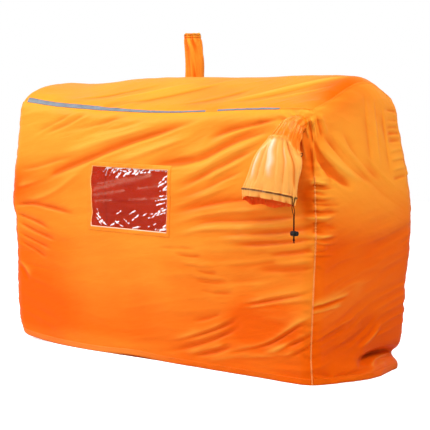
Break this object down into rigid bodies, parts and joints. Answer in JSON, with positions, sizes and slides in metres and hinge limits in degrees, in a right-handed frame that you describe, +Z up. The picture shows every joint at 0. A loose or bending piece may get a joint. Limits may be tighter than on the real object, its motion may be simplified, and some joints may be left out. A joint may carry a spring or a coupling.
{
  "type": "emergency tent",
  "caption": "Poleless emergency shelter of coated nylon with a clear window, a drooping open vent sleeve with drawcord and cord lock, and an upright vent sleeve drawn shut.",
  "frame": {"origin": "on the ground under the middle of the whole outline", "axes": "+Z up, -Y towards the long front wall with the window, +X towards the right end seen from the front"},
  "size_m": [1.5675, 0.6655, 1.1584],
  "materials": {
    "coated_nylon": "thin coated ripstop-free nylon, satin, slightly see-through to light",
    "seam": "folded and stitched nylon",
    "seat_cloth": "heavier coated nylon",
    "clear_film": "clear flexible film, crumpled",
    "reflective_tape": "grey retroreflective tape",
    "black_cord": "braided cord",
    "black_plastic": "moulded acetal",
    "spring_steel": "drawn wire"
  },
  "bodies": {
    "shell": {"front_wall": "coated_nylon", "rear_wall": "coated_nylon", "left_end": "coated_nylon", "right_end": "coated_nylon", "roof": "coated_nylon", "window_film": "clear_film", "window_frame": "coated_nylon", "seam_front_left": "seam", "seam_front_right": "seam", "seam_rear_left": "seam", "seam_rear_right": "seam", "seam_roof_left": "seam", "seam_roof_right": "seam", "seam_roof_front": "seam", "seam_roof_rear": "seam", "front_reflective_strip": "reflective_tape", "rear_reflective_strip": "reflective_tape", "hem_front": "coated_nylon", "hem_rear": "coated_nylon", "hem_left": "coated_nylon", "hem_right": "coated_nylon", "front_vent_collar": "coated_nylon", "rear_vent_collar": "coated_nylon", "front_seat_strip": "seat_cloth", "rear_seat_strip": "seat_cloth"},
    "front_vent": {"front_vent_sleeve": "coated_nylon", "front_vent_channel": "coated_nylon", "front_drawcord_loop": "black_cord", "front_drawcord_left": "black_cord", "front_drawcord_right": "black_cord", "front_drawcord_knot": "black_cord", "keeper_loop": "black_cord"},
    "cord_lock": {"cord_lock_housing": "black_plastic", "cord_lock_spring": "spring_steel"},
    "cord_lock_button": {"cord_lock_plunger": "black_plastic"},
    "rear_vent": {"rear_vent_sleeve": "coated_nylon", "rear_vent_channel": "coated_nylon", "rear_drawcord_loop": "black_cord"},
    "front_seat": {"front_seat": "seat_cloth"},
    "rear_seat": {"rear_seat": "seat_cloth"}
  },
  "joints": [
    {"name": "front_vent_lift", "type": "hinge", "parent": "shell", "child": "front_vent", "pos_m": [0.66047, -0.24367, 0.87039], "axis": [-1, 0, 0], "range_deg": [0, 70]},
    {"name": "cord_lock_slide", "type": "slide", "parent": "front_vent", "child": "cord_lock", "axis": [0, 0, 1], "range_m": [-0.007, 0.045]},
    {"name": "cord_lock_press", "type": "slide", "parent": "cord_lock", "child": "cord_lock_button", "axis": [-1, 0, 0], "range_m": [0, 0.003], "stiffness_N_per_m": 400, "springref_m": -0.002, "deforming": ["cord_lock_spring"]},
    {"name": "rear_vent_fold", "type": "hinge", "parent": "shell", "child": "rear_vent", "pos_m": [-0.30531, 0.25422, 0.82075], "axis": [-1, 0, 0], "range_deg": [0, 75]},
    {"name": "front_seat_fold", "type": "hinge", "parent": "shell", "child": "front_seat", "pos_m": [0, -0.2182, 0.001], "axis": [1, 0, 0], "range_deg": [0, 80]},
    {"name": "rear_seat_fold", "type": "hinge", "parent": "shell", "child": "rear_seat", "pos_m": [0, 0.2222, 0.001], "axis": [-1, 0, 0], "range_deg": [0, 80]}
  ]
}
